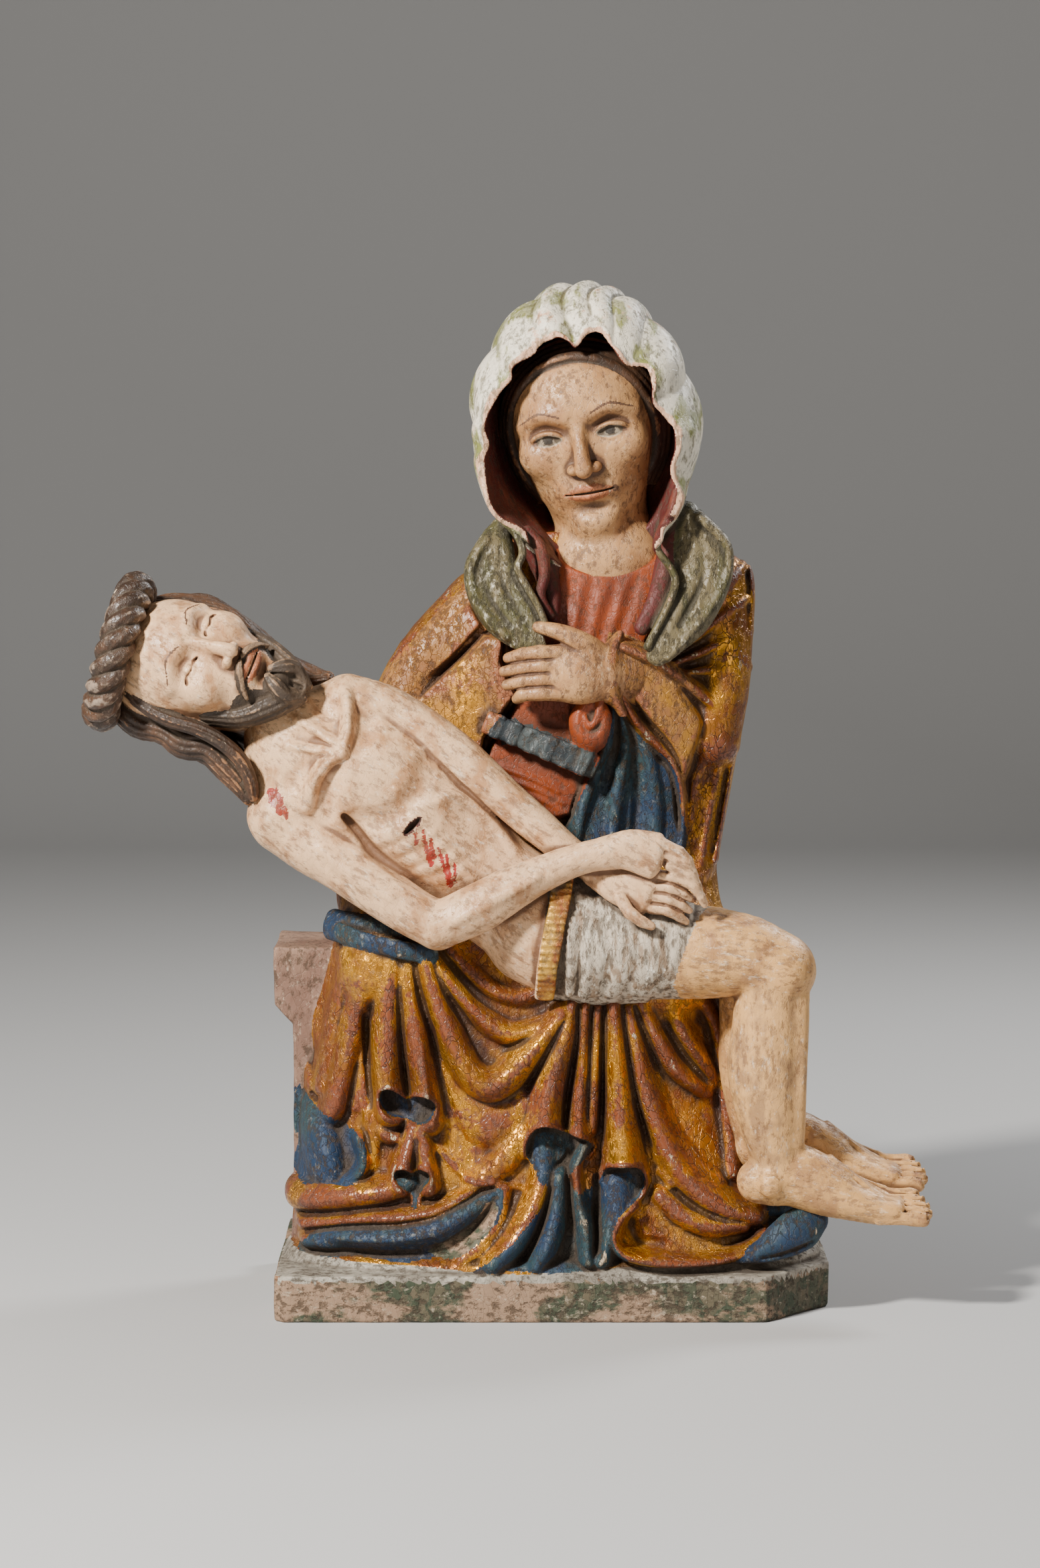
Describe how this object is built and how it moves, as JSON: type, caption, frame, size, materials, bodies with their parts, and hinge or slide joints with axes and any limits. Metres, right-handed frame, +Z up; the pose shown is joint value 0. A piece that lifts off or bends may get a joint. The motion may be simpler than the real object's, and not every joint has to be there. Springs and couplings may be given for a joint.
{
  "type": "pieta statue",
  "caption": "Carved and painted wooden group of a seated veiled woman with a man lying across her lap, on its own plinth.",
  "frame": {"origin": "middle of the plinth's underside, on the surface that it stands on", "axes": "+Z up, +X to the right and -Y towards a viewer in front of the group"},
  "size_m": [0.6552, 0.2717, 0.7998],
  "materials": {
    "gilded_and_painted_wood": "gilded and painted over a chalk ground, cracked and worn",
    "flesh_painted_wood": "painted over a chalk ground, cracked and worn",
    "crown_wood": "dark paint with worn silvery and gilt ridges"
  },
  "bodies": {
    "root": {"seated_woman_block": "gilded_and_painted_wood", "reclining_man": "flesh_painted_wood", "thorn_crown": "crown_wood"}
  },
  "joints": []
}
